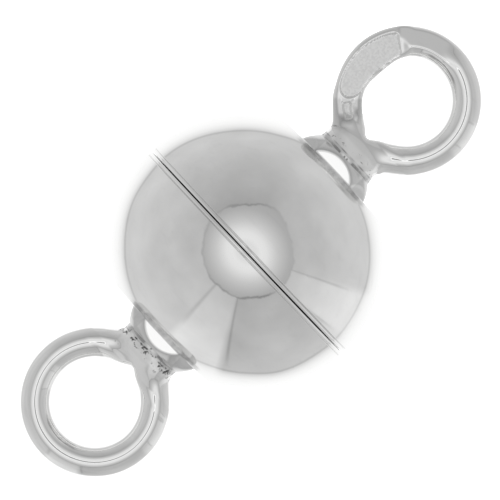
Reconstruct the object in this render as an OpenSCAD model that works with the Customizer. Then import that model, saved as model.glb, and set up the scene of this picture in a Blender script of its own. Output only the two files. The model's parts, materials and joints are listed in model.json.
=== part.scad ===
// Magnetic ball clasp: two silver half shells, each with a magnet in its mouth
// and a soldered eye on its pole. It lies as it would on a table, on the ball
// and on the far edge of its lower eye, with both eyes facing up.
// Lengths are in millimetres, angles in degrees, +Z is up.

/* [Ball] */
// Diameter of the closed ball across its seam
ball_d = 8; // [7.6:0.1:9]
// Height that each dome would reach above the middle of the seam without its flat
pole_h = 3.88; // [3.8:0.02:3.98]
// Height of the flat on each dome, which the foot stands on
flat_h = 3.38; // [3.2:0.02:3.6]
// Height of the straight lip round each mouth
lip_h = 0.15; // [0.1:0.05:0.5]
// Thickness of the domed shell
wall = 0.35; // [0.25:0.05:0.5]
// Bevel on the outer edge of each lip
lip_bevel = 0.03; // [0.02:0.01:0.06]
// Gap between the lips of the closed halves
seam_gap = 0.05; // [0.03:0.01:0.1]

/* [Magnets] */
// Diameter of each magnet
magnet_d = 6; // [5:0.1:6.6]
// Thickness of each magnet
magnet_t = 1.5; // [1:0.1:1.7]
// Depth of each magnet's face below its lip
magnet_recess = 0.05; // [0.02:0.01:0.15]
// Clearance round each magnet
magnet_clear = 0.04; // [0.02:0.01:0.1]
// Clearance between each magnet and the ledge behind it
seat_clear = 0.02; // [0.01:0.01:0.05]
// Width of the ledge behind each magnet
ledge_w = 0.35; // [0.2:0.05:0.6]
// Bevel on the edges of each magnet
magnet_bevel = 0.1; // [0.05:0.05:0.25]

/* [Feet] */
// Width of each six-sided foot across its corners
foot_d = 2.8; // [2.4:0.02:3.2]
// Height of the foot's corners above the flat
foot_h = 0.26; // [0.14:0.02:0.4]
// Height of the turned chamfer between the corners and the neck
chamfer_h = 0.3; // [0.2:0.02:0.4]
// Turn of the lower foot about the clasp's axis
lower_turn = 5; // [-10:1:10]
// Turn of the upper foot about the clasp's axis
upper_turn = -3; // [-10:1:10]
// Depth to which each foot is let into its shell
foot_set = 0.08; // [0.04:0.02:0.14]
// Diameter of the neck
neck_d = 2; // [1.8:0.02:2.2]
// Height of the neck's rounded top
cap_h = 0.45; // [0.35:0.05:0.6]
// Height to which the neck's straight side laps each eye's wire
neck_lap = 0.24; // [0.1:0.02:0.3]

/* [Eyes] */
// Diameter of each eye's hole
eye_hole_d = 2.58; // [2.2:0.02:3.2]
// Diameter of the round wire of each eye
wire_d = 0.86; // [0.7:0.02:1]
// Length of neck between the lower foot and its eye
lower_neck = 0.04; // [0.02:0.02:0.4]
// Length of neck between the upper foot and its eye
upper_neck = 0.21; // [0.03:0.02:0.5]

/* [Pressed wire] */
// Width of the pressed stretch of the upper eye's wire
pressed_w = 1.08; // [0.96:0.02:1.2]
// Thickness of the pressed stretch
pressed_t = 0.66; // [0.5:0.02:0.72]
// Shift of the pressed stretch towards the eye's hole
pressed_in = 0.08; // [0:0.02:0.16]
// Angle from the neck at which the pressed stretch starts
pressed_from = 24; // [20:1:30]
// Angle that the pressed stretch spans
pressed_span = 110; // [100:1:120]
// Angle by which the pressed stretch runs on into the round wire at each end
pressed_lap = 2; // [1:0.5:4]
// Width of the long sunken panel
panel_w = 0.74; // [0.4:0.02:0.8]
// Depth of the sunken panel and of the sunken patch
panel_depth = 0.06; // [0.04:0.01:0.12]
// Angle that the long panel spans
panel_span = 82; // [50:1:86]
// Width of the small sunken patch beside the panel
patch_w = 0.18; // [0.16:0.02:0.4]
// Angle that the small patch spans
patch_span = 14; // [8:1:16]
// Angle of plain metal before and between the sunken places
panel_rim = 3; // [2:1:6]

/* [Hidden] */
$fn = 96;

// the dome's sphere has its centre below the seam, and its pole is pressed flat
ball_r = ball_d / 2;
dome_drop = (ball_r * ball_r - pole_h * pole_h + lip_h * lip_h) / (2 * (pole_h - lip_h));
dome_r = pole_h + dome_drop;

magnet_low = seam_gap / 2 + magnet_recess;
ledge_z = magnet_low + magnet_t + seat_clear;
mouth_r = magnet_d / 2 + magnet_clear;

// each shell is turned from a little off the side that faces up, away from the surface below
shell_start = 177.1875;

foot_r = foot_d / 2;
neck_r = neck_d / 2;
cap_r = (neck_r * neck_r + cap_h * cap_h) / (2 * cap_h);
foot_z = flat_h - foot_set;
corner_z = flat_h + foot_h;
neck_z = corner_z + chamfer_h;

wire_r = wire_d / 2;
eye_r = eye_hole_d / 2 + wire_r;
lower_eye_z = neck_z + lower_neck + wire_r + eye_r;
upper_eye_z = neck_z + upper_neck + wire_r + eye_r;

pressed_r = eye_r - pressed_in;
pressed_cut = 2 * pressed_w;

// at rest the lower dome and the far edge of the lower eye touch the same surface
rest_angle = asin((dome_r - wire_r) / (lower_eye_z + eye_r + dome_drop));
ball_z = dome_r - dome_drop * sin(rest_angle);
ball_x = (lower_eye_z - upper_eye_z) / 2 * cos(rest_angle);

module shell_profile() {
    difference() {
        union() {
            intersection() {
                translate([0, -dome_drop]) circle(r = dome_r);
                translate([0, lip_h]) square([2 * ball_r, flat_h - lip_h]);
            }
            polygon([
                [0, seam_gap / 2],
                [ball_r - lip_bevel, seam_gap / 2],
                [ball_r, seam_gap / 2 + lip_bevel],
                [ball_r, lip_h],
                [0, lip_h]
            ]);
        }
        square([mouth_r, ledge_z]);
        intersection() {
            translate([0, -dome_drop]) circle(r = dome_r - wall);
            square([mouth_r - ledge_w, flat_h - wall]);
        }
    }
}

// the axis side is cut square, so that the profile can be turned
module shell() {
    rotate([0, 0, shell_start]) rotate_extrude() {
        intersection() {
            shell_profile();
            square([2 * ball_r, pole_h]);
        }
    }
}

// the foot is a six-sided prism whose end is turned down to the neck
module foot(turn) {
    intersection() {
        rotate([0, 0, turn + 30]) translate([0, 0, foot_z]) {
            linear_extrude(height = neck_z - foot_z) circle(r = foot_r, $fn = 6);
        }
        rotate_extrude() {
            polygon([
                [0, foot_z],
                [foot_r, foot_z],
                [foot_r, corner_z],
                [neck_r, neck_z],
                [0, neck_z]
            ]);
        }
    }
}

module neck(eye_z) {
    neck_top = eye_z - eye_r - wire_r + neck_lap;
    rotate_extrude() {
        translate([0, corner_z]) square([neck_r, neck_top - corner_z]);
        intersection() {
            translate([0, neck_top + cap_h - cap_r]) circle(r = cap_r);
            translate([0, neck_top]) square([neck_r, cap_h]);
        }
    }
}

// an eye is drawn flat and turned up on edge, its angles counted from the neck
module on_edge(eye_z) {
    translate([0, 0, eye_z]) rotate([0, 90, 0]) children();
}

module round_ring() {
    rotate_extrude() translate([eye_r, 0]) circle(r = wire_r);
}

module sector(radius, width, low, height, from, span) {
    rotate([0, 0, from]) rotate_extrude(angle = span) {
        translate([radius - width / 2, low]) square([width, height]);
    }
}

module pressed_ring() {
    difference() {
        round_ring();
        sector(eye_r, pressed_cut, -wire_d, 2 * wire_d, pressed_from, pressed_span);
    }
    difference() {
        rotate([0, 0, pressed_from - pressed_lap]) rotate_extrude(angle = pressed_span + 2 * pressed_lap) {
            intersection() {
                translate([pressed_r, 0]) circle(d = pressed_w);
                translate([0, -pressed_t / 2]) square([2 * eye_r, pressed_t]);
            }
        }
        sunken_places();
    }
}

module sunken_places() {
    low = -pressed_t / 2 - panel_depth;
    patch_from = pressed_from + panel_rim;
    panel_from = patch_from + patch_span + panel_rim;
    sector(pressed_r, patch_w, low, 2 * panel_depth, patch_from, patch_span);
    sector(pressed_r, panel_w, low, 2 * panel_depth, panel_from, panel_span);
}

module magnet() {
    translate([0, 0, magnet_low]) rotate_extrude() {
        polygon([
            [0, 0],
            [magnet_d / 2 - magnet_bevel, 0],
            [magnet_d / 2, magnet_bevel],
            [magnet_d / 2, magnet_t - magnet_bevel],
            [magnet_d / 2 - magnet_bevel, magnet_t],
            [0, magnet_t]
        ]);
    }
}

// the clasp is drawn with its axis upright, and laid down to its resting angle
module at_rest() {
    translate([ball_x, 0, ball_z]) rotate([0, 90 - rest_angle, 0]) children();
}

module lower_side() {
    at_rest() mirror([0, 0, 1]) children();
}

module lower_half() {
    color("silver") lower_side() {
        union() {
            shell();
            foot(lower_turn);
            neck(lower_eye_z);
            on_edge(lower_eye_z) round_ring();
        }
    }
}

module upper_half() {
    color("silver") at_rest() {
        union() {
            shell();
            foot(upper_turn);
            neck(upper_eye_z);
            on_edge(upper_eye_z) pressed_ring();
        }
    }
}

module lower_magnet() {
    color("dimgray") lower_side() magnet();
}

module upper_magnet() {
    color("dimgray") at_rest() magnet();
}

lower_half();
lower_magnet();
upper_half();
upper_magnet();
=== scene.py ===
import json
import math

import bpy
import numpy as np
from mathutils import Matrix, Vector


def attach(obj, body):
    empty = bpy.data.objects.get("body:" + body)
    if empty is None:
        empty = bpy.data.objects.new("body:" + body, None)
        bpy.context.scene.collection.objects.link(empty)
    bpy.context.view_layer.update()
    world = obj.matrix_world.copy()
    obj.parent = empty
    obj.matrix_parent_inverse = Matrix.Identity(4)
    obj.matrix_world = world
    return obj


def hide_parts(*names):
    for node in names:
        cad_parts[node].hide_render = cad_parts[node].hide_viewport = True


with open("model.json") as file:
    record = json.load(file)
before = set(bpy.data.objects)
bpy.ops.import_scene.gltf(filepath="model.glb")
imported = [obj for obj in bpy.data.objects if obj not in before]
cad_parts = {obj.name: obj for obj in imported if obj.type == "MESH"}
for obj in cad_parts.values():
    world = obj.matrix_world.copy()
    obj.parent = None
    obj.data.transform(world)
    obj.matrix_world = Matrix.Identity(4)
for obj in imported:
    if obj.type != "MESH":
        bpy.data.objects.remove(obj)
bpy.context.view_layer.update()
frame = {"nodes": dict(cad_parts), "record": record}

bl_info = {
    "name": "Magnetic Ball Clasp",
    "version": (1, 0, 0),
    "blender": (4, 5, 0),
    "location": "3D View > Sidebar > Clasp",
    "description": "Dresses a magnetic ball clasp: two soldered silver halves with a magnet in each",
    "category": "Object",
}

MM = 0.001

# distances at which points are merged, and the depth to which a foot is let into its shell, in mm
WELD = 0.0003
CLOSE_WELD = 0.0005
LET_IN = 0.16

# a half with fewer faces than this has lost a part
FEWEST_FACES = 10000

# the eye's hole in mm: its radius, and that of its corner towards the neck
HOLE_RADIUS = 1.23
HOLE_CORNER = 0.145

# the upper eye's wire, in degrees from the neck: where it grows flat and round again, and where a
# slanting facet is filed on it past the flat stretch
FLAT_FROM, FLAT_TO = (19.0, 33.0), (127.0, 141.0)
FILED_FROM, FILED_TO = (122.0, 129.0), (168.0, 194.0)
# half the thickness of its flat stretch, the depth of the sunken places, and the slant and depth of
# the facet, in mm and degrees
FLAT_HALF = 0.34
SUNK_DEPTH = 0.05
FILED_SLANT = math.radians(16.0)
FILED_DEPTH = 0.09
# its sunken panel: the mean radius and outer edge in mm, and where it and the patch beside it stand
PANEL_RADIUS = 1.63
PANEL_EDGE = 1.965
PANEL_START = math.radians(46.0)
PANEL_STOP = math.radians(126.0)
PATCH_MIDDLE = math.radians(33.5)
PATCH_RADIUS = 1.73

WHITE = (1.0, 1.0, 1.0, 1.0)

# the clasp's own directions in the frame: along its axis, across its eyes, and out of its upper face
AXIS = Vector(frame["record"]["behaviour"]["joints"][0]["axis"]).normalized()
ACROSS = Vector((0.0, 1.0, 0.0))
FACING = AXIS.cross(ACROSS).normalized()
LOWER_EYE = Vector(frame["record"]["mounts"][0]["pos_m"])

# how the clasp is turned in the picture
SLOPE = math.radians(43.4)
RIGHT = AXIS * math.cos(SLOPE) - ACROSS * math.sin(SLOPE)
UP = AXIS * math.sin(SLOPE) + ACROSS * math.cos(SLOPE)


# ---------------------------------------------------------------- sizes

class ShellSizes(bpy.types.PropertyGroup):
    dome_radius: bpy.props.FloatProperty(
        name="Dome Radius", description="Radius of the domed part of each shell",
        default=4.00977 * MM, precision=5, unit="LENGTH")
    dome_drop: bpy.props.FloatProperty(
        name="Dome Drop", description="Depth of the dome's centre below the seam",
        default=0.12977 * MM, precision=5, unit="LENGTH")
    flat_height: bpy.props.FloatProperty(
        name="Flat Height", description="Height of the flat that the foot stands on above the seam",
        default=3.38 * MM, precision=5, unit="LENGTH")
    lip_height: bpy.props.FloatProperty(
        name="Lip Height", description="Height of the straight lip above the seam",
        default=0.15 * MM, precision=5, unit="LENGTH")
    seam_gap: bpy.props.FloatProperty(
        name="Seam Gap", description="Gap between the two lips of the closed clasp",
        default=0.02 * MM, precision=5, unit="LENGTH")
    wall: bpy.props.FloatProperty(
        name="Wall", description="Thickness of the shell",
        default=0.35 * MM, precision=5, unit="LENGTH")
    seat_radius: bpy.props.FloatProperty(
        name="Seat Radius", description="Radius of the magnet's seat",
        default=3.04 * MM, precision=5, unit="LENGTH")
    ledge_radius: bpy.props.FloatProperty(
        name="Ledge Radius", description="Radius of the hollow behind the magnet's ledge",
        default=2.69 * MM, precision=5, unit="LENGTH")
    ledge_height: bpy.props.FloatProperty(
        name="Ledge Height", description="Height of the ledge above the seam",
        default=1.595 * MM, precision=5, unit="LENGTH")


class FootSizes(bpy.types.PropertyGroup):
    foot_radius: bpy.props.FloatProperty(
        name="Foot Radius", description="Radius of the six-sided foot at its corners",
        default=1.32 * MM, precision=5, unit="LENGTH")
    front_flat: bpy.props.FloatProperty(
        name="Front Flat", description="Distance of the foot's front and back flats from the axis",
        default=1.02 * MM, precision=5, unit="LENGTH")
    neck_radius: bpy.props.FloatProperty(
        name="Neck Radius", description="Radius of the foot's turned end",
        default=0.85 * MM, precision=5, unit="LENGTH")
    corner_height: bpy.props.FloatProperty(
        name="Corner Height", description="Height at which the rounded shoulder is as wide as the corners",
        default=3.26 * MM, precision=5, unit="LENGTH")
    top_height: bpy.props.FloatProperty(
        name="Top Height", description="Height of the foot's turned end above the seam",
        default=3.96 * MM, precision=5, unit="LENGTH")
    lower_turn: bpy.props.FloatProperty(
        name="Lower Turn", description="Turn of the lower foot about the axis",
        default=math.radians(-3.0), subtype="ANGLE", unit="ROTATION")
    upper_turn: bpy.props.FloatProperty(
        name="Upper Turn", description="Turn of the upper foot about the axis",
        default=math.radians(-3.0), subtype="ANGLE", unit="ROTATION")
    lower_shift: bpy.props.FloatProperty(
        name="Lower Shift", description="Distance by which the lower foot and its eye stand off the axis",
        default=0.14 * MM, precision=5, unit="LENGTH")
    edge_round: bpy.props.FloatProperty(
        name="Edge Rounding", description="Softness of the foot's polished edges",
        default=0.05 * MM, precision=5, unit="LENGTH")


class EyeSizes(bpy.types.PropertyGroup):
    lower_height: bpy.props.FloatProperty(
        name="Lower Eye Height", description="Height of the lower eye's centre above the seam",
        default=6.13 * MM, precision=5, unit="LENGTH")
    upper_height: bpy.props.FloatProperty(
        name="Upper Eye Height", description="Height of the upper eye's centre above the seam",
        default=6.30 * MM, precision=5, unit="LENGTH")
    eye_radius: bpy.props.FloatProperty(
        name="Eye Radius", description="Radius of the eye at the middle of its wire",
        default=1.72 * MM, precision=5, unit="LENGTH")
    wire_radius: bpy.props.FloatProperty(
        name="Wire Radius", description="Radius of the eye's round wire",
        default=0.43 * MM, precision=5, unit="LENGTH")
    lower_corner: bpy.props.FloatProperty(
        name="Lower Hole Corner", description="Reach of the lower eye's hole towards its neck",
        default=1.473 * MM, precision=5, unit="LENGTH")
    upper_corner: bpy.props.FloatProperty(
        name="Upper Hole Corner", description="Reach of the upper eye's hole towards its neck",
        default=1.56 * MM, precision=5, unit="LENGTH")
    grain: bpy.props.FloatProperty(
        name="Model Grain", description="Size of the faces that foot, solder and eye are modelled with",
        default=0.026 * MM, precision=6, unit="LENGTH")


class SilverFinish(bpy.types.PropertyGroup):
    silver: bpy.props.FloatVectorProperty(
        name="Silver", description="Colour of the polished silver",
        default=(0.93, 0.93, 0.925), size=3, min=0.0, max=1.0, subtype="COLOR")
    nickel: bpy.props.FloatVectorProperty(
        name="Nickel", description="Colour of the magnets' nickel plate",
        default=(0.62, 0.60, 0.57), size=3, min=0.0, max=1.0, subtype="COLOR")
    # the dark colour given both to tarnished silver and to painted shade in the seam, the creases and round
    # the foot
    tarnish_and_shade: bpy.props.FloatVectorProperty(
        name="Tarnish", description="Colour of the dull silver in the seam",
        default=(0.10, 0.10, 0.105), size=3, min=0.0, max=1.0, subtype="COLOR")
    polish: bpy.props.FloatProperty(
        name="Roughness", description="Roughness of the polished silver",
        default=0.05, min=0.0, max=1.0, subtype="FACTOR")
    scratches: bpy.props.FloatProperty(
        name="Scratches", description="Strength of the fine handling marks",
        default=0.35, min=0.0, max=1.0, subtype="FACTOR")


class StageSettings(bpy.types.PropertyGroup):
    camera_distance: bpy.props.FloatProperty(
        name="Camera Distance", description="Distance of the camera from the ball",
        default=0.16, unit="LENGTH")
    camera_turn: bpy.props.FloatProperty(
        name="Camera Turn", description="Turn of the camera past the plane of the seam",
        default=math.radians(0.4), subtype="ANGLE", unit="ROTATION")
    field: bpy.props.FloatProperty(
        name="Field", description="Width of the picture at the ball",
        default=14.33 * MM, precision=5, unit="LENGTH")
    floor_tone: bpy.props.FloatVectorProperty(
        name="Floor", description="Colour of the pale floor",
        default=(0.9, 0.9, 0.9), size=3, min=0.0, max=1.0, subtype="COLOR")
    floor_glow: bpy.props.FloatProperty(
        name="Floor Glow", description="Light that comes through the floor from below",
        default=0.6, min=0.0)
    overhead: bpy.props.FloatProperty(
        name="Overhead Light", description="Strength of the broad light above the floor",
        default=5.5, min=0.0)


# ---------------------------------------------------------------- modelling steps

def only(piece):
    """Selects one piece and nothing else."""
    bpy.ops.object.select_all(action="DESELECT")
    piece.hide_set(False)
    piece.select_set(True)
    bpy.context.view_layer.objects.active = piece
    return piece


def begin(name, add, **settings):
    """Adds a primitive by itself, names it and applies its place, turn and scale."""
    bpy.ops.object.select_all(action="DESELECT")
    add(**settings)
    piece = bpy.context.object
    piece.name = name
    piece.data.name = name
    apply_place()
    return piece


def apply_place():
    """Applies the selected piece's place, turn and scale."""
    bpy.ops.object.transform_apply(location=True, rotation=True, scale=True)


def points_of(piece):
    """The places of a piece's points, one row each."""
    flat = np.empty(len(piece.data.vertices) * 3)
    piece.data.vertices.foreach_get("co", flat)
    return flat.reshape(-1, 3)


def store(piece, name, values):
    """Stores one value for each point of a piece."""
    attribute = piece.data.attributes.new(name, "FLOAT", "POINT")
    attribute.data.foreach_set("value", values)


def spin_profile(name, profile, steps):
    """Draws a profile of radius and height point by point, and spins it about the upright axis."""
    piece = begin(name, bpy.ops.mesh.primitive_plane_add, size=0.1)
    bpy.ops.object.mode_set(mode="EDIT")
    bpy.ops.mesh.select_all(action="SELECT")
    bpy.ops.mesh.merge(type="CENTER")
    bpy.ops.transform.translate(value=(profile[0][0], 0.0, profile[0][1]))
    for before, after in zip(profile, profile[1:]):
        move = (after[0] - before[0], 0.0, after[1] - before[1])
        bpy.ops.mesh.extrude_region_move(TRANSFORM_OT_translate={"value": move})
    bpy.ops.mesh.select_all(action="SELECT")
    bpy.ops.mesh.spin(steps=steps, angle=math.tau, center=(0.0, 0.0, 0.0), axis=(0.0, 0.0, 1.0))
    bpy.ops.mesh.select_all(action="SELECT")
    bpy.ops.mesh.remove_doubles(threshold=WELD)
    bpy.ops.mesh.normals_make_consistent(inside=False)
    bpy.ops.object.mode_set(mode="OBJECT")
    return piece


def combine(piece, other, operation):
    """Cuts, trims or joins a piece with another one, which is used up."""
    only(piece)
    cut = piece.modifiers.new(operation.title(), "BOOLEAN")
    cut.operation = operation
    cut.solver = "EXACT"
    cut.object = other
    bpy.ops.object.modifier_apply(modifier=cut.name)
    bpy.data.objects.remove(other)
    return piece


def arc(centre, radius, start, stop, count):
    """Points of radius and height on an arc, its angles in degrees from straight out, upwards."""
    points = []
    for i in range(count + 1):
        turn = math.radians(start + (stop - start) * i / count)
        points.append((centre[0] + radius * math.cos(turn), centre[1] + radius * math.sin(turn)))
    return points


def ease(value, low, high):
    """A smooth step from 0 at low to 1 at high."""
    share = np.clip((value - low) / (high - low), 0.0, 1.0)
    return share * share * (3.0 - 2.0 * share)


def joined(first, second, softness):
    """Depth below the surface of two forms that flow together."""
    share = np.clip(0.5 + 0.5 * (second - first) / softness, 0.0, 1.0)
    return second + (first - second) * share - softness * share * (1.0 - share)


def trimmed(first, second, softness):
    """Depth below the surface where two forms overlap, with a softened edge."""
    return -joined(-first, -second, softness)


def model_shell(name):
    """The half shell with its lip, the magnet's seat and ledge, and the flat for the foot."""
    sizes = bpy.context.scene.clasp_shell
    radius, drop = sizes.dome_radius / MM, sizes.dome_drop / MM
    flat, lip = sizes.flat_height / MM, sizes.lip_height / MM
    low, wall = sizes.seam_gap / MM / 2.0, sizes.wall / MM
    seat, ledge, ledge_z = sizes.seat_radius / MM, sizes.ledge_radius / MM, sizes.ledge_height / MM
    rim = math.degrees(math.asin((flat + drop) / radius))
    foot = math.degrees(math.asin((lip + 0.004 + drop) / radius))
    out = radius * math.cos(math.radians(foot))
    inner = radius - wall
    ceiling = flat - wall
    inner_low = math.degrees(math.acos(ledge / inner))
    inner_high = math.degrees(math.asin((ceiling + drop) / inner))
    bead = (lip - 0.024 - low) / 2.0
    profile = [(0.0, flat), (0.7, flat), (1.2, flat), (1.6, flat)]
    profile += [(radius * math.cos(math.radians(rim)) - 0.02, flat)]
    profile += arc((0.0, -drop), radius, rim - 0.4, foot, 64)
    profile += [(out - 0.006, lip - 0.004), (out - 0.014, lip - 0.01), (out - 0.015, lip - 0.018)]
    profile += arc((out - bead, low + bead), bead, 66.0, -90.0, 14)
    profile += [(seat + 0.04, low), (seat, low + 0.04)]
    profile += [(seat, ledge_z), (ledge + 0.02, ledge_z), (ledge, ledge_z + 0.02)]
    profile += arc((0.0, -drop), inner, inner_low, inner_high, 16)
    profile += [(0.8, ceiling), (0.0, ceiling)]
    return spin_profile(name, profile, 180)


def foot_shoulder():
    """Centre height and radius of the foot's rounded shoulder, from its corners to its neck."""
    sizes = bpy.context.scene.clasp_foot
    foot, neck = sizes.foot_radius / MM, sizes.neck_radius / MM
    corner, top = sizes.corner_height / MM, sizes.top_height / MM
    centre = (neck ** 2 + top ** 2 - foot ** 2 - corner ** 2) / (2.0 * (top - corner))
    return centre, math.hypot(foot, corner - centre)


def foot_form(points, turn):
    """The six-sided foot, its end turned down to the neck."""
    sizes = bpy.context.scene.clasp_foot
    foot, top, soft = sizes.foot_radius / MM, sizes.top_height / MM, sizes.edge_round / MM
    low = bpy.context.scene.clasp_shell.flat_height / MM - LET_IN
    x, y, z = points.T
    sides = np.full(len(points), -10.0)
    for i in range(3):
        way = turn + math.radians(60.0 * i)
        reach = foot * math.cos(math.radians(30.0)) if i else sizes.front_flat / MM
        side = np.abs(x * math.cos(way) + y * math.sin(way)) - reach
        sides = side if i == 0 else trimmed(sides, side, soft)
    centre, radius = foot_shoulder()
    turned = np.sqrt(x ** 2 + y ** 2 + (z - centre) ** 2) - radius
    form = trimmed(sides, turned, soft)
    return np.maximum(trimmed(form, z - top, 0.04), low - z)


def pressed_edge(turned):
    """Radius of the pressed wire's inner edge, by the angle from the neck in degrees."""
    sizes = bpy.context.scene.clasp_eye
    edge = (sizes.eye_radius - sizes.wire_radius) / MM
    return edge - 0.21 * np.exp(-((turned - 93.0) / 34.0) ** 2) * (turned > 0.0)


def panel_form(points, height):
    """The long sunken panel and the small patch beside it, seen flat: below 0 inside them."""
    y, drop = points[:, 1], points[:, 2] - height
    turned = np.arctan2(y, -drop)
    reach = np.hypot(y, drop)
    edge = pressed_edge(np.degrees(turned)) + 0.1
    half = (PANEL_EDGE - edge) / 2.0
    across = reach - edge - half
    slot = np.hypot(np.minimum((turned - PANEL_START) * PANEL_RADIUS - half, 0.0), across) - half
    panel = trimmed(slot, (turned - PANEL_STOP) * PANEL_RADIUS, 0.12)
    beside = np.abs((turned - PATCH_MIDDLE) * PANEL_RADIUS) - 0.24
    patch = trimmed(beside, np.abs(reach - PATCH_RADIUS) - 0.13, 0.06)
    return np.minimum(panel, patch)


def ring_form(points, height, pressed):
    """The round wire of the eye, with its pressed stretch."""
    sizes = bpy.context.scene.clasp_eye
    radius, wire = sizes.eye_radius / MM, sizes.wire_radius / MM
    x, y, z = points.T
    drop = z - height
    reach = np.hypot(y, drop)
    if not pressed:
        return np.hypot(reach - radius, x) - wire
    turned = np.degrees(np.arctan2(y, -drop))
    share = ease(turned, *FLAT_FROM) * (1.0 - ease(turned, *FLAT_TO))
    inner = pressed_edge(turned)
    outer = radius + wire - 0.05 * np.exp(-((turned - 62.0) / 26.0) ** 2)
    middle, wide = (outer + inner) / 2.0, (outer - inner) / 2.0
    thick = wire + share * (FLAT_HALF - wire)
    power = 2.0 + 2.6 * share
    round_it = (np.abs(reach - middle) / wide) ** power + (np.abs(x) / thick) ** power
    form = (round_it ** (1.0 / power) - 1.0) * thick
    facet = (reach - radius) * math.sin(FILED_SLANT) - x * math.cos(FILED_SLANT) - wire + FILED_DEPTH
    filed = trimmed(form, facet, 0.025)
    past = np.mod(turned, 360.0)
    form = form + (filed - form) * ease(past, *FILED_FROM) * (1.0 - ease(past, *FILED_TO))
    sunk = trimmed(panel_form(points, height), x + thick - SUNK_DEPTH, 0.02)
    return trimmed(form, -sunk, 0.03)


def solder_form(points, height, bottom):
    """The wedge of solder that carries the eye, from the foot's turned end to the eye's hole."""
    top = bpy.context.scene.clasp_foot.top_height / MM
    x, y, z = points.T
    rise = np.clip((z - top) / (bottom - top), -0.2, 1.1)
    half_x = 0.965 - 0.70 * rise
    half_y = 0.965 - 0.10 * rise - 0.12 * np.clip(rise, 0.0, 1.0) ** 2
    power = 2.2 + 2.4 * np.clip(rise, 0.0, 1.0)
    form = ((np.abs(x) / half_x) ** power + (np.abs(y) / half_y) ** power) ** (1.0 / power) - 1.0
    form = form * np.minimum(half_x, half_y) * 0.8
    form = trimmed(form, z - bottom - 0.12, 0.1)
    return np.maximum(form, top - 0.1 - z)


def hole_form(points, height, corner):
    """The eye's hole with its corner towards the neck, seen flat: below 0 inside it."""
    y, z = np.abs(points[:, 1]), height - points[:, 2]
    wide, narrow = HOLE_RADIUS, HOLE_CORNER
    far = corner - narrow
    lean = (wide - narrow) / far
    upright = math.sqrt(1.0 - lean * lean)
    along = -y * lean + z * upright
    side = y * upright + z * lean - wide
    form = np.where(along > upright * far, np.hypot(y, z - far) - narrow, side)
    return np.where(along < 0.0, np.hypot(y, z) - wide, form)


def silver_form(points, height, turn, pressed, corner):
    """Foot, solder and eye as one form: below 0 inside the silver."""
    bottom = height - corner
    ring = ring_form(points, height, pressed)
    solder = solder_form(points, height, bottom)
    form = joined(ring, solder, 0.3)
    drop = points[:, 2] - height
    turned = np.abs(np.degrees(np.arctan2(points[:, 1], -drop)))
    near = 1.0 - ease(turned, 24.0, 44.0)
    form = form + (trimmed(form, -hole_form(points, height, corner), 0.13) - form) * near
    burr = Vector((-0.2, -0.97, bottom - 0.44)) if pressed else Vector((-0.2, 0.97, bottom - 0.53))
    form = joined(form, np.linalg.norm(points - np.array(burr), axis=1) - 0.05, 0.08)
    return joined(form, foot_form(points, turn), 0.02)


def settle(piece, form, rounds=5):
    """Moves each point of a piece along the form's slope until it lies on the finished surface."""
    points = points_of(piece)
    step = 0.002
    for _ in range(rounds):
        slope = np.stack([(form(points + way) - form(points - way)) / (2.0 * step)
                          for way in np.eye(3) * step], axis=1)
        steep = np.maximum((slope ** 2).sum(axis=1), 0.05)
        move = np.clip(form(points) / steep, -0.04, 0.04)
        points = points - move[:, None] * slope
    piece.data.vertices.foreach_set("co", points.ravel())
    piece.data.update()
    return piece


def even_out(piece, rounds):
    """Evens out the faces of a piece with a few passes of smoothing."""
    only(piece)
    passes = piece.modifiers.new("Even out", "SMOOTH")
    passes.factor = 0.5
    passes.iterations = rounds
    bpy.ops.object.modifier_apply(modifier=passes.name)
    return piece


def model_foot(name, turn):
    """The six-sided foot with its end turned down to the neck."""
    sizes = bpy.context.scene.clasp_foot
    foot, neck, top = sizes.foot_radius / MM, sizes.neck_radius / MM, sizes.top_height / MM
    low = bpy.context.scene.clasp_shell.flat_height / MM - LET_IN
    piece = begin(name, bpy.ops.mesh.primitive_cylinder_add, vertices=6, radius=foot,
                  depth=top - low, location=(0.0, 0.0, (top + low) / 2.0), rotation=(0.0, 0.0, turn))
    edge = foot + 0.2
    cone = spin_profile("turning", [(0.0, low - 0.1), (edge, low - 0.1), (edge, low + 0.02),
                                    (foot - 0.04, low + 0.22), (neck, top), (0.0, top)], 120)
    combine(piece, cone, "INTERSECT")
    slab = begin("slab", bpy.ops.mesh.primitive_cube_add, size=1.0, location=(0.0, 0.0, top),
                 rotation=(0.0, 0.0, turn), scale=(2.0 * sizes.front_flat / MM, 4.0, 4.0))
    return combine(piece, slab, "INTERSECT")


def model_eye(name, height, turn, pressed, corner):
    """The closed ring eye on its foot, blended as the solder has flowed."""
    eye, foot = bpy.context.scene.clasp_eye, bpy.context.scene.clasp_foot
    radius, wire, top = eye.eye_radius / MM, eye.wire_radius / MM, foot.top_height / MM
    ring = begin(name, bpy.ops.mesh.primitive_torus_add, major_radius=radius, minor_radius=wire,
                 major_segments=180, minor_segments=48, location=(0.0, 0.0, height),
                 rotation=(0.0, math.pi / 2.0, 0.0))
    settle(ring, lambda points: ring_form(points, height, pressed))
    bottom = height - corner
    stub = spin_profile("stub", [(0.0, top - 0.1), (0.96, top - 0.1), (0.96, top), (0.6, bottom - 0.2),
                                 (0.4, bottom + 0.08), (0.0, bottom + 0.1)], 96)
    combine(ring, stub, "UNION")
    notch = begin("notch", bpy.ops.mesh.primitive_cylinder_add, vertices=48, radius=HOLE_CORNER,
                  depth=2.0, location=(0.0, 0.0, bottom + HOLE_CORNER), rotation=(0.0, math.pi / 2.0, 0.0))
    combine(ring, notch, "DIFFERENCE")
    combine(ring, model_foot("foot", turn), "UNION")
    only(ring)
    ring.data.remesh_voxel_size = eye.grain / MM
    ring.data.use_remesh_fix_poles = False
    bpy.ops.object.voxel_remesh()

    def form(points):
        return silver_form(points, height, turn, pressed, corner)

    even_out(ring, 4)
    settle(ring, form)
    even_out(ring, 2)
    return settle(ring, form)


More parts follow.
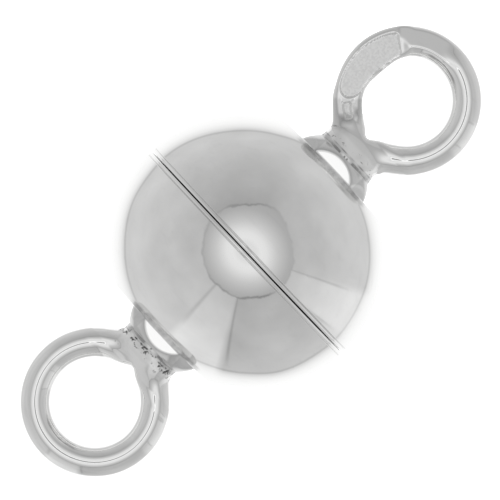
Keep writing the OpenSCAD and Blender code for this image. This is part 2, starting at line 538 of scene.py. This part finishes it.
def mark_surface(piece, height, shift, pressed):
    """Stores where shade is painted and the silver is tarnished and matt, where the solder ran and where
    the panel is sunk.
    """
    points = points_of(piece)
    x, y, z = points.T
    out = np.hypot(x, y)
    sizes, foot = bpy.context.scene.clasp_shell, bpy.context.scene.clasp_foot
    lip, level, top = sizes.lip_height / MM, sizes.flat_height / MM, foot.top_height / MM
    # painted shade, with tarnished silver, in the seam, its strength changing along the picture; painted
    # shade in the crease beside the bead; darker inside the hollow
    along = np.interp(y, [-3.8, -3.45, -3.1, -2.9, -2.3, -1.2, -0.6, 0.6, 1.7, 2.6, 3.3, 3.6],
                      [0.0, 0.05, 0.15, 0.75, 1.0, 0.8, 0.5, 0.45, 0.6, 0.5, 0.2, 0.1])
    seam = (1.0 - ease(z, 0.014, 0.026)) * (z < 0.06) * along
    crease = np.exp(-((z - lip + 0.012) / 0.008) ** 2) * (out > 3.9) * 0.45
    hollow = np.hypot(out, z + sizes.dome_drop / MM) < sizes.dome_radius / MM - 0.2
    inside = 0.6 * hollow * (z < level - 0.2)
    # painted shade on the rim of the flat beside the foot, over the foot's reflection there
    uneven = 0.9 + 0.25 * np.sin(9.7 * y) * np.sin(23.0 * y)
    rim = 0.45 * ease(z, level - 0.15, level - 0.12) * (out > 1.2) * (z < level + 0.01) * uneven
    rim = rim * (1.0 - ease(np.abs(y + shift), 1.15, 1.45))
    # painted shade on the foot: a painted shadow at its base, painted shade on all but its front and back
    # flats and on its rounded shoulder, and in the broken line above it a dark joint with painted shade in
    # its crevice
    round_foot = np.hypot(x, y + shift)
    on_foot = (z > level + 0.01) * (z < top + 0.01) * (round_foot < 1.45)
    base = 0.4 * (1.0 - ease(z, level + 0.03, level + 0.06)) * on_foot
    sides = 0.36 * ease(np.abs(y + shift), 0.7, 0.76) * on_foot
    centre, radius = foot_shoulder()
    turning = np.sqrt(round_foot ** 2 + (z - centre) ** 2) - radius
    shoulder = 0.25 * ease(turning, -0.05, -0.025) * on_foot
    line = np.exp(-((z - top - 0.03) / 0.02) ** 2) * (round_foot > 0.75) * (round_foot < 1.2)
    line = line * (0.4 + 0.4 * np.sin(5.3 * (y + shift) + 0.8) * np.sin(13.1 * (y + shift) + x))
    # every painted shade and the tarnished places, in one mark
    dulled_and_shaded = np.maximum.reduce([seam, crease, inside, rim, base, sides, shoulder, line])
    sunk = np.zeros(len(points))
    if pressed:
        # painted shade on the pressed wire round the patch beside the panel, and the sunken places
        # themselves
        panel = panel_form(points, height)
        turned = np.degrees(np.arctan2(y, height - z))
        pressed_shade = 0.26 * ease(turned, 14.0, 26.0) * (1.0 - ease(turned, 43.0, 47.0)) * (x < 0.0)
        pressed_shade = pressed_shade * (np.abs(np.hypot(y, z - height) - 1.7) < 0.6)
        dulled_and_shaded = np.maximum(dulled_and_shaded, pressed_shade * ease(panel, -0.02, 0.02))
        sunk = (1.0 - ease(panel, -0.05, -0.01)) * (x < -0.2)
    joint = (1.0 - 0.7 * ease(z, top + 0.1, top + 0.34)) * (1.0 - ease(z, top + 0.5, top + 0.8))
    joint = joint * ease(z, top - 0.12, top + 0.01) * (round_foot < 1.2) * (0.55 if pressed else 1.0)
    store(piece, "tarnish_and_shade", dulled_and_shaded)
    store(piece, "solder", joint)
    store(piece, "sunken", sunk)


def place(piece, mirrored):
    """Turns a finished piece over for the lower side, and brings it to its place in the frame."""
    only(piece)
    if mirrored:
        piece.scale = (1.0, 1.0, -1.0)
        bpy.ops.object.transform_apply(location=False, rotation=False, scale=True)
        bpy.ops.object.mode_set(mode="EDIT")
        bpy.ops.mesh.select_all(action="SELECT")
        bpy.ops.mesh.normals_make_consistent(inside=False)
        bpy.ops.object.mode_set(mode="OBJECT")
    eye = bpy.context.scene.clasp_eye
    middle = LOWER_EYE + AXIS * eye.lower_height
    columns = Matrix((-FACING, ACROSS, AXIS)).transposed().to_4x4()
    piece.matrix_world = Matrix.Translation(middle) @ columns @ Matrix.Scale(MM, 4)
    apply_place()
    bpy.ops.object.shade_smooth_by_angle(angle=math.radians(38.0))
    return piece


def model_half(name, node, body, height, turn, shift, corner, pressed, mirrored):
    """One half of the clasp: shell, foot and eye as one soldered piece of silver."""
    half = model_shell(name)
    ring = model_eye("eye", height, turn, pressed, corner)
    only(ring)
    bpy.ops.transform.translate(value=(0.0, -shift, 0.0))
    apply_place()
    combine(half, ring, "UNION")
    only(half)
    bpy.ops.object.mode_set(mode="EDIT")
    bpy.ops.mesh.select_all(action="SELECT")
    bpy.ops.mesh.remove_doubles(threshold=CLOSE_WELD)
    bpy.ops.object.mode_set(mode="OBJECT")
    mark_surface(half, height, shift, pressed)
    place(half, mirrored)
    if len(half.data.polygons) < FEWEST_FACES:
        raise RuntimeError(name + " came out without all its parts")
    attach(half, body)
    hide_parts(node)
    half.data.materials.clear()
    half.data.materials.append(silver_material())
    return half


# ---------------------------------------------------------------- finishes

class Nodes:
    """Adds shader nodes to one tree, each fed with plain values or with other nodes' outputs."""

    def __init__(self, tree):
        self.tree = tree

    def add(self, kind, **settings):
        node = self.tree.nodes.new(kind)
        for key, value in settings.items():
            setattr(node, key, value)
        return node

    def feed(self, entry, value):
        """Joins an entry to an output, or sets it to a plain value."""
        if isinstance(value, bpy.types.NodeSocket):
            self.tree.links.new(value, entry)
        else:
            entry.default_value = value

    def work_out(self, operation, *values):
        node = self.add("ShaderNodeMath", operation=operation)
        for entry, value in zip(node.inputs, values):
            self.feed(entry, value)
        return node.outputs[0]

    def blend(self, share, first, second):
        node = self.add("ShaderNodeMix", data_type="RGBA")
        for place, value in ((0, share), (6, first), (7, second)):
            self.feed(node.inputs[place], value)
        return node.outputs[2]

    def noise(self, vector, scale, detail=2.0, roughness=0.5):
        node = self.add("ShaderNodeTexNoise")
        for entry, value in (("Vector", vector), ("Scale", scale), ("Detail", detail),
                             ("Roughness", roughness)):
            self.feed(node.inputs[entry], value)
        return node.outputs["Fac"]

    def spread(self, value, to_low, to_high, from_low=0.0, from_high=1.0, kind="LINEAR"):
        """Spreads one range of values over another."""
        node = self.add("ShaderNodeMapRange", interpolation_type=kind)
        for entry, amount in (("Value", value), ("From Min", from_low), ("From Max", from_high),
                              ("To Min", to_low), ("To Max", to_high)):
            self.feed(node.inputs[entry], amount)
        return node.outputs["Result"]

    def ramp(self, value, stops, kind="LINEAR"):
        """A ramp of grey stops of place and value."""
        node = self.add("ShaderNodeValToRGB")
        self.feed(node.inputs["Fac"], value)
        node.color_ramp.interpolation = kind
        elements = node.color_ramp.elements
        elements.remove(elements[-1])
        elements[0].position = stops[0][0]
        elements[0].color = grey(stops[0][1])
        for where, amount in stops[1:]:
            elements.new(where).color = grey(amount)
        return node.outputs["Color"]

    def bump(self, height, strength, distance, normal=None, invert=False):
        node = self.add("ShaderNodeBump", invert=invert)
        for entry, value in (("Height", height), ("Strength", strength), ("Distance", distance)):
            self.feed(node.inputs[entry], value)
        if normal is not None:
            self.feed(node.inputs["Normal"], normal)
        return node.outputs["Normal"]

    def use(self, group, **entries):
        """A shared group, with its entries fed by name."""
        node = self.add("ShaderNodeGroup", node_tree=group)
        for entry, value in entries.items():
            self.feed(node.inputs[entry], value)
        return node.outputs


def grey(amount):
    """A grey of the given strength."""
    return (amount, amount, amount, 1.0)


def paint(colour, share=1.0):
    """A colour with full cover, darkened to a share of its strength."""
    return (*[part * share for part in colour], 1.0)


def begin_group(name, entries, results):
    """A new shader node group with its sockets, and the nodes that it starts and ends with."""
    group = bpy.data.node_groups.new(name, "ShaderNodeTree")
    for entry, kind in entries:
        group.interface.new_socket(entry, in_out="INPUT", socket_type=kind)
    for result in results:
        group.interface.new_socket(result, in_out="OUTPUT", socket_type="NodeSocketFloat")
    nodes = Nodes(group)
    return group, nodes, nodes.add("NodeGroupInput").outputs, nodes.add("NodeGroupOutput").inputs


def begin_material(name):
    """A new material with its nodes and its shader."""
    material = bpy.data.materials.new(name)
    material.use_nodes = True
    return material, Nodes(material.node_tree), material.node_tree.nodes["Principled BSDF"].inputs


def wear_group():
    """Fine handling marks: crossing hairline scratches and a faint unevenness of the polish."""
    name = "Handling Marks"
    if name in bpy.data.node_groups:
        return bpy.data.node_groups[name]
    group, nodes, entry, leave = begin_group(
        name, (("Density", "NodeSocketFloat"), ("Vector", "NodeSocketVector")), ("Scratches", "Unevenness"))
    lines = []
    for turn, stretch in (((0.3, 0.5, 0.2), (900.0, 40.0, 900.0)),
                          ((1.1, -0.4, 1.9), (1300.0, 60.0, 1300.0))):
        mapping = nodes.add("ShaderNodeMapping")
        mapping.inputs["Rotation"].default_value = turn
        mapping.inputs["Scale"].default_value = stretch
        nodes.feed(mapping.inputs["Vector"], entry["Vector"])
        streak = nodes.noise(mapping.outputs["Vector"], 3.0, 3.0)
        lines.append(nodes.ramp(streak, [(0.62, 0.0), (0.7, 1.0)]))
    most = nodes.work_out("MAXIMUM", *lines)
    nodes.feed(leave["Scratches"], nodes.work_out("MULTIPLY", most, entry["Density"]))
    nodes.feed(leave["Unevenness"], nodes.noise(entry["Vector"], 700.0, 4.0))
    return group


def solder_group():
    """The marks that soldering and pressing leave: small pits, stains and a fine stipple."""
    name = "Solder and Stipple"
    if name in bpy.data.node_groups:
        return bpy.data.node_groups[name]
    group, nodes, entry, leave = begin_group(
        name, (("Vector", "NodeSocketVector"), ("Solder", "NodeSocketFloat")),
        ("Pits", "Stain", "Stipple", "Mottle"))
    blots = nodes.noise(entry["Vector"], 7500.0, 3.0, 0.6)
    wet = nodes.work_out("MULTIPLY_ADD", entry["Solder"], 0.16, blots)
    nodes.feed(leave["Pits"], nodes.ramp(wet, [(0.0, 0.0), (0.715, 0.0), (0.75, 1.0), (1.0, 1.0)]))
    stain = nodes.noise(entry["Vector"], 2600.0)
    nodes.feed(leave["Stain"], nodes.ramp(stain, [(0.0, 0.0), (0.42, 0.05), (0.7, 0.5), (1.0, 0.6)]))
    grain = nodes.noise(entry["Vector"], 14000.0, 1.0)
    nodes.feed(leave["Stipple"], grain)
    nodes.feed(leave["Mottle"], nodes.ramp(grain, [(0.0, 0.25), (0.4, 0.3), (0.65, 0.5), (1.0, 0.55)]))
    return group


def silver_material():
    """Mirror polished silver, tarnished and painted with shade in the seam, the creases and round the foot,
    pitted at the solder and stippled in the panel.
    """
    name = "polished silver"
    if name in bpy.data.materials:
        return bpy.data.materials[name]
    finish = bpy.context.scene.clasp_finish
    material, nodes, shader = begin_material(name)
    place_at = nodes.add("ShaderNodeTexCoord").outputs["Object"]
    solder, sunken, tarnish_and_shade = [nodes.add("ShaderNodeAttribute", attribute_name=mark).outputs["Fac"]
                               for mark in ("solder", "sunken", "tarnish_and_shade")]
    marks = nodes.use(wear_group(), Density=finish.scratches, Vector=place_at)
    flow = nodes.use(solder_group(), Vector=place_at, Solder=solder)
    stained = nodes.work_out("MULTIPLY", solder, flow["Stain"])
    mottled = nodes.work_out("MULTIPLY", sunken, flow["Mottle"])
    pits = nodes.work_out("MULTIPLY", solder, flow["Pits"])
    colour = paint(finish.silver)
    for share, darker in ((marks["Scratches"], 0.94), (stained, 0.72), (mottled, 0.6), (pits, 0.16)):
        colour = nodes.blend(share, colour, paint(finish.silver, darker))
    rough = nodes.spread(marks["Unevenness"], finish.polish * 0.6, finish.polish * 1.6)
    dulled_and_shaded = nodes.work_out("MAXIMUM", tarnish_and_shade, sunken)
    deep = nodes.bump(pits, 1.0, 0.00002, invert=True)
    fine = nodes.bump(nodes.work_out("MULTIPLY", sunken, flow["Stipple"]), 0.6, 0.000012, deep)
    nodes.feed(shader["Metallic"], 1.0)
    # painted shade and tarnished silver: the colour is blended towards the dark colour where the mark of
    # both is set
    nodes.feed(shader["Base Color"], nodes.blend(tarnish_and_shade, colour, paint(finish.tarnish_and_shade)))
    nodes.feed(shader["Roughness"], nodes.work_out("MULTIPLY_ADD", dulled_and_shaded, 0.28, rough))
    nodes.feed(shader["Normal"], nodes.bump(marks["Scratches"], 0.04, 0.00001, fine))
    return material


def nickel_material():
    """Satin nickel plate of the magnets."""
    name = "satin nickel plate"
    if name in bpy.data.materials:
        return bpy.data.materials[name]
    finish = bpy.context.scene.clasp_finish
    material, nodes, shader = begin_material(name)
    place_at = nodes.add("ShaderNodeTexCoord").outputs["Object"]
    marks = nodes.use(wear_group(), Density=0.8, Vector=place_at)
    colour = nodes.blend(marks["Unevenness"], paint(finish.nickel), paint(finish.nickel, 0.85))
    nodes.feed(shader["Metallic"], 1.0)
    nodes.feed(shader["Base Color"], colour)
    nodes.feed(shader["Roughness"], nodes.spread(marks["Unevenness"], 0.2, 0.4))
    nodes.feed(shader["Normal"], nodes.bump(marks["Scratches"], 0.15, 0.00002))
    return material


# ---------------------------------------------------------------- light

def light_tent():
    """The soft tent round the clasp: a bright opening above it, pale panels and a white base."""
    world = bpy.data.worlds.new("soft tent")
    bpy.context.scene.world = world
    world.use_nodes = True
    nodes = Nodes(world.node_tree)
    direction = nodes.add("ShaderNodeTexCoord").outputs["Generated"]

    def along(axis):
        dot = nodes.add("ShaderNodeVectorMath", operation="DOT_PRODUCT")
        nodes.feed(dot.inputs[0], direction)
        nodes.feed(dot.inputs[1], axis)
        return dot.outputs["Value"]

    # height runs from 0 above the clasp to 1 below it, and turn once round the tent
    height = nodes.work_out("DIVIDE", nodes.work_out("ARCCOSINE", along(FACING)), math.pi)
    turn = nodes.spread(nodes.work_out("ARCTAN2", along(UP), along(RIGHT)), 0.0, 1.0, -math.pi, math.pi)

    def at(degrees):
        return ((degrees + 180.0) % 360.0) / 360.0

    def all_round(ends, stops, kind="LINEAR"):
        """A ramp once round the tent, its stops in degrees and the same at both ends."""
        inner = [(at(degrees), amount) for degrees, amount in stops]
        return nodes.ramp(turn, sorted([(0.0, ends), *inner, (1.0, ends)]), kind)

    # where the tent's opening ends, as an angle that changes round it, with a slightly ragged edge
    edge = all_round(0.36, [
        (200, 0.37), (223, 0.41), (256, 0.42), (280, 0.40), (299, 0.43), (322, 0.44), (350, 0.44),
        (5, 0.41), (30, 0.47), (53, 0.62), (64, 0.55), (83, 0.44), (105, 0.43), (122, 0.44), (145, 0.39),
        (171, 0.37)], "EASE")
    ragged = nodes.work_out("MULTIPLY_ADD", nodes.noise(direction, 9.0, 3.0), 0.03, height)
    past = nodes.work_out("SUBTRACT", ragged, nodes.spread(edge, 0.17, 0.345))
    outside = nodes.spread(past, 0.0, 1.0, -0.004, 0.004)
    opening = nodes.ramp(height, [
        (0.0, 0.2), (0.016, 0.26), (0.023, 0.7), (0.028, 1.04), (0.042, 1.04), (0.048, 0.76),
        (0.06, 0.77), (0.08, 0.83), (0.105, 0.8), (0.128, 0.71), (0.155, 0.6), (0.183, 0.52),
        (0.214, 0.445), (0.25, 0.42)])

    # the panels grow paler from their upper edge to their lower one
    panel_high = all_round(0.53, [
        (225, 0.54), (229, 0.54), (253, 0.53), (257, 0.44), (311, 0.45), (314, 0.54), (319, 0.55),
        (322, 0.56), (340, 0.54), (344, 0.50), (20, 0.49), (50, 0.47), (66, 0.40), (100, 0.39),
        (126, 0.41), (140, 0.50)])
    panel_low = all_round(0.64, [
        (225, 0.64), (229, 0.80), (253, 0.78), (257, 0.52), (270, 0.56), (311, 0.60), (314, 0.74),
        (319, 0.76), (322, 0.83), (340, 0.81), (344, 0.65), (20, 0.64), (50, 0.63), (66, 0.61),
        (100, 0.62), (126, 0.63), (140, 0.66)])
    panels = nodes.blend(nodes.spread(height, 0.0, 1.0, 0.24, 0.62), panel_high, panel_low)
    folds = nodes.spread(nodes.noise(direction, 2.4, 4.0), 0.84, 1.16)

    # the dark gaps between panels: where each is, how it leans, its width and depth, and where it stops
    gaps = 0.0
    for middle, lean, width, depth, stop in ((342.0, -4.0, 1.3, 0.22, 0.60), (320.0, 0.0, 1.0, 0.22, 0.64),
                                             (257.0, 6.0, 1.5, 0.25, 0.66), (227.0, 4.0, 2.6, 0.2, 0.52)):
        drift = nodes.work_out("MULTIPLY_ADD", height, lean / 360.0, at(middle) - lean / 360.0 * 0.4)
        away = nodes.work_out("ABSOLUTE", nodes.work_out("SUBTRACT", turn, drift))
        line = nodes.spread(away, depth, 0.0, 0.0, width / 360.0, "SMOOTHSTEP")
        reach = nodes.spread(height, 0.0, 1.0, stop, stop - 0.12)
        gaps = nodes.work_out("ADD", gaps, nodes.work_out("MULTIPLY", line, reach))
    shade = nodes.work_out("MULTIPLY", nodes.work_out("SUBTRACT", 1.0, gaps), folds)
    inside = nodes.blend(outside, opening, nodes.work_out("MULTIPLY", panels, shade))

    # the dark hem round the opening
    hem_depth = all_round(0.14, [
        (205, 0.10), (222, 0.34), (240, 0.42), (252, 0.28), (262, 0.44), (290, 0.46), (303, 0.05),
        (330, 0.12), (0, 0.04), (50, 0.06), (66, 0.26), (84, 0.36), (104, 0.28), (118, 0.12), (171, 0.12)])
    hem = nodes.spread(nodes.work_out("ABSOLUTE", past), 1.0, 0.0, 0.0, 0.009, "SMOOTHSTEP")
    hem_keep = nodes.work_out("SUBTRACT", 1.0, nodes.work_out("MULTIPLY", hem, hem_depth))
    tent = nodes.work_out("MULTIPLY", inside, hem_keep)

    # below the tent's lower edge, which hangs a little unevenly, all grows white
    hang = all_round(0.50, [
        (200, 0.50), (222, 0.44), (250, 0.34), (266, 0.40), (283, 0.58), (305, 0.40), (325, 0.46),
        (350, 0.60), (10, 0.58), (32, 0.52), (62, 0.56), (76, 0.42), (95, 0.40), (122, 0.54), (142, 0.46),
        (160, 0.60)], "EASE")
    below = nodes.work_out("SUBTRACT", height, nodes.work_out("MULTIPLY_ADD", hang, 0.1, 0.65))
    fade = nodes.spread(below, 0.0, 1.0, -0.02, 0.18)
    base = nodes.ramp(fade, [(0.0, 0.0), (0.1, 0.0), (0.13, 0.12), (0.20, 0.33), (0.31, 0.61), (0.43, 0.76),
                             (0.56, 0.9), (0.85, 1.0), (1.0, 1.0)])
    lower_edge = nodes.ramp(fade, [(0.0, 1.0), (0.03, 1.0), (0.075, 0.84), (0.12, 0.84), (0.16, 1.0),
                                   (1.0, 1.0)])
    whole = nodes.blend(base, nodes.work_out("MULTIPLY", tent, lower_edge), grey(1.04))

    # the picture's own background stays plain
    seen = nodes.add("ShaderNodeLightPath").outputs["Is Camera Ray"]
    nodes.feed(world.node_tree.nodes["Background"].inputs["Color"], nodes.blend(seen, whole, WHITE))


# ---------------------------------------------------------------- operators

class CLASP_OT_lower_half(bpy.types.Operator):
    """Models the lower half of silver: shell, foot and round eye"""
    bl_idname = "clasp.lower_half"
    bl_label = "Lower Half"

    def execute(self, context):
        eye, foot = context.scene.clasp_eye, context.scene.clasp_foot
        model_half("silver_lower_half", "lower_half", "lower", eye.lower_height / MM, foot.lower_turn,
                   foot.lower_shift / MM, eye.lower_corner / MM, pressed=False, mirrored=True)
        return {"FINISHED"}


class CLASP_OT_upper_half(bpy.types.Operator):
    """Models the upper half of silver: shell, foot and the eye with its pressed stretch"""
    bl_idname = "clasp.upper_half"
    bl_label = "Upper Half"

    def execute(self, context):
        eye, foot = context.scene.clasp_eye, context.scene.clasp_foot
        model_half("silver_upper_half", "upper_half", "upper", eye.upper_height / MM, foot.upper_turn,
                   0.0, eye.upper_corner / MM, pressed=True, mirrored=False)
        return {"FINISHED"}


class CLASP_OT_magnets(bpy.types.Operator):
    """Gives both magnets their nickel plate"""
    bl_idname = "clasp.magnets"
    bl_label = "Magnets"

    def execute(self, context):
        for node in ("lower_magnet", "upper_magnet"):
            magnet = frame["nodes"][node]
            magnet.data.materials.clear()
            magnet.data.materials.append(nickel_material())
        return {"FINISHED"}


class CLASP_OT_stage(bpy.types.Operator):
    """Sets the pale floor, the soft light and the camera"""
    bl_idname = "clasp.stage"
    bl_label = "Stage"

    def execute(self, context):
        settings = context.scene.clasp_stage
        floor = begin("floor", bpy.ops.mesh.primitive_circle_add, vertices=96, radius=1.0,
                      fill_type="NGON")
        bpy.ops.object.mode_set(mode="EDIT")
        bpy.ops.mesh.select_all(action="SELECT")
        bpy.ops.mesh.inset(thickness=0.9, depth=0.0)
        bpy.ops.object.mode_set(mode="OBJECT")
        floor.visible_glossy = False
        paper, nodes, shader = begin_material("pale paper")
        fibre = nodes.noise(nodes.add("ShaderNodeTexCoord").outputs["Object"], 900.0)
        tone = nodes.blend(fibre, paint(settings.floor_tone), paint(settings.floor_tone, 0.985))
        for entry, value in (("Base Color", tone), ("Roughness", 0.9), ("Specular IOR Level", 0.0),
                             ("Emission Color", WHITE), ("Emission Strength", settings.floor_glow)):
            nodes.feed(shader[entry], value)
        floor.data.materials.append(paper)

        light_tent()
        bpy.ops.object.light_add(type="SUN", location=(0.0, 0.0, 0.5))
        overhead = bpy.context.object
        overhead.name = "overhead light"
        overhead.data.energy = settings.overhead
        overhead.data.angle = math.radians(150.0)
        overhead.visible_glossy = False

        middle = LOWER_EYE + AXIS * context.scene.clasp_eye.lower_height
        centre = middle + RIGHT * 0.086 * MM + UP * 0.046 * MM
        bpy.ops.object.camera_add(location=centre + FACING * settings.camera_distance)
        camera = bpy.context.object
        aim = Matrix((RIGHT, UP, FACING)).transposed().to_4x4()
        aim = Matrix.Rotation(settings.camera_turn, 4, ACROSS) @ aim
        back = Matrix.Translation((0.0, 0.0, settings.camera_distance))
        camera.matrix_world = Matrix.Translation(centre) @ aim @ back
        camera.data.sensor_width = 36.0
        camera.data.lens = 36.0 * settings.camera_distance / settings.field
        camera.data.clip_start = 0.005
        camera.data.clip_end = 10.0
        context.scene.camera = camera
        context.scene.view_settings.view_transform = "Standard"
        return {"FINISHED"}


class CLASP_PT_panel(bpy.types.Panel):
    bl_label = "Magnetic Ball Clasp"
    bl_idname = "CLASP_PT_panel"
    bl_space_type = "VIEW_3D"
    bl_region_type = "UI"
    bl_category = "Clasp"

    def draw(self, context):
        for operator in OPERATORS:
            self.layout.operator(operator.bl_idname)
        for group in (context.scene.clasp_shell, context.scene.clasp_foot, context.scene.clasp_eye,
                      context.scene.clasp_finish, context.scene.clasp_stage):
            box = self.layout.box()
            for name in group.__annotations__:
                box.prop(group, name)


OPERATORS = (CLASP_OT_lower_half, CLASP_OT_upper_half, CLASP_OT_magnets, CLASP_OT_stage)
GROUPS = {"clasp_shell": ShellSizes, "clasp_foot": FootSizes, "clasp_eye": EyeSizes,
          "clasp_finish": SilverFinish, "clasp_stage": StageSettings}


def register():
    for name, group in GROUPS.items():
        bpy.utils.register_class(group)
        setattr(bpy.types.Scene, name, bpy.props.PointerProperty(type=group))
    for each in (*OPERATORS, CLASP_PT_panel):
        bpy.utils.register_class(each)


def unregister():
    for each in (CLASP_PT_panel, *reversed(OPERATORS)):
        bpy.utils.unregister_class(each)
    for name, group in reversed(list(GROUPS.items())):
        delattr(bpy.types.Scene, name)
        bpy.utils.unregister_class(group)


def main():
    register()
    bpy.ops.clasp.lower_half()
    bpy.ops.clasp.upper_half()
    bpy.ops.clasp.magnets()
    bpy.ops.clasp.stage()


if __name__ == "__main__":
    main()
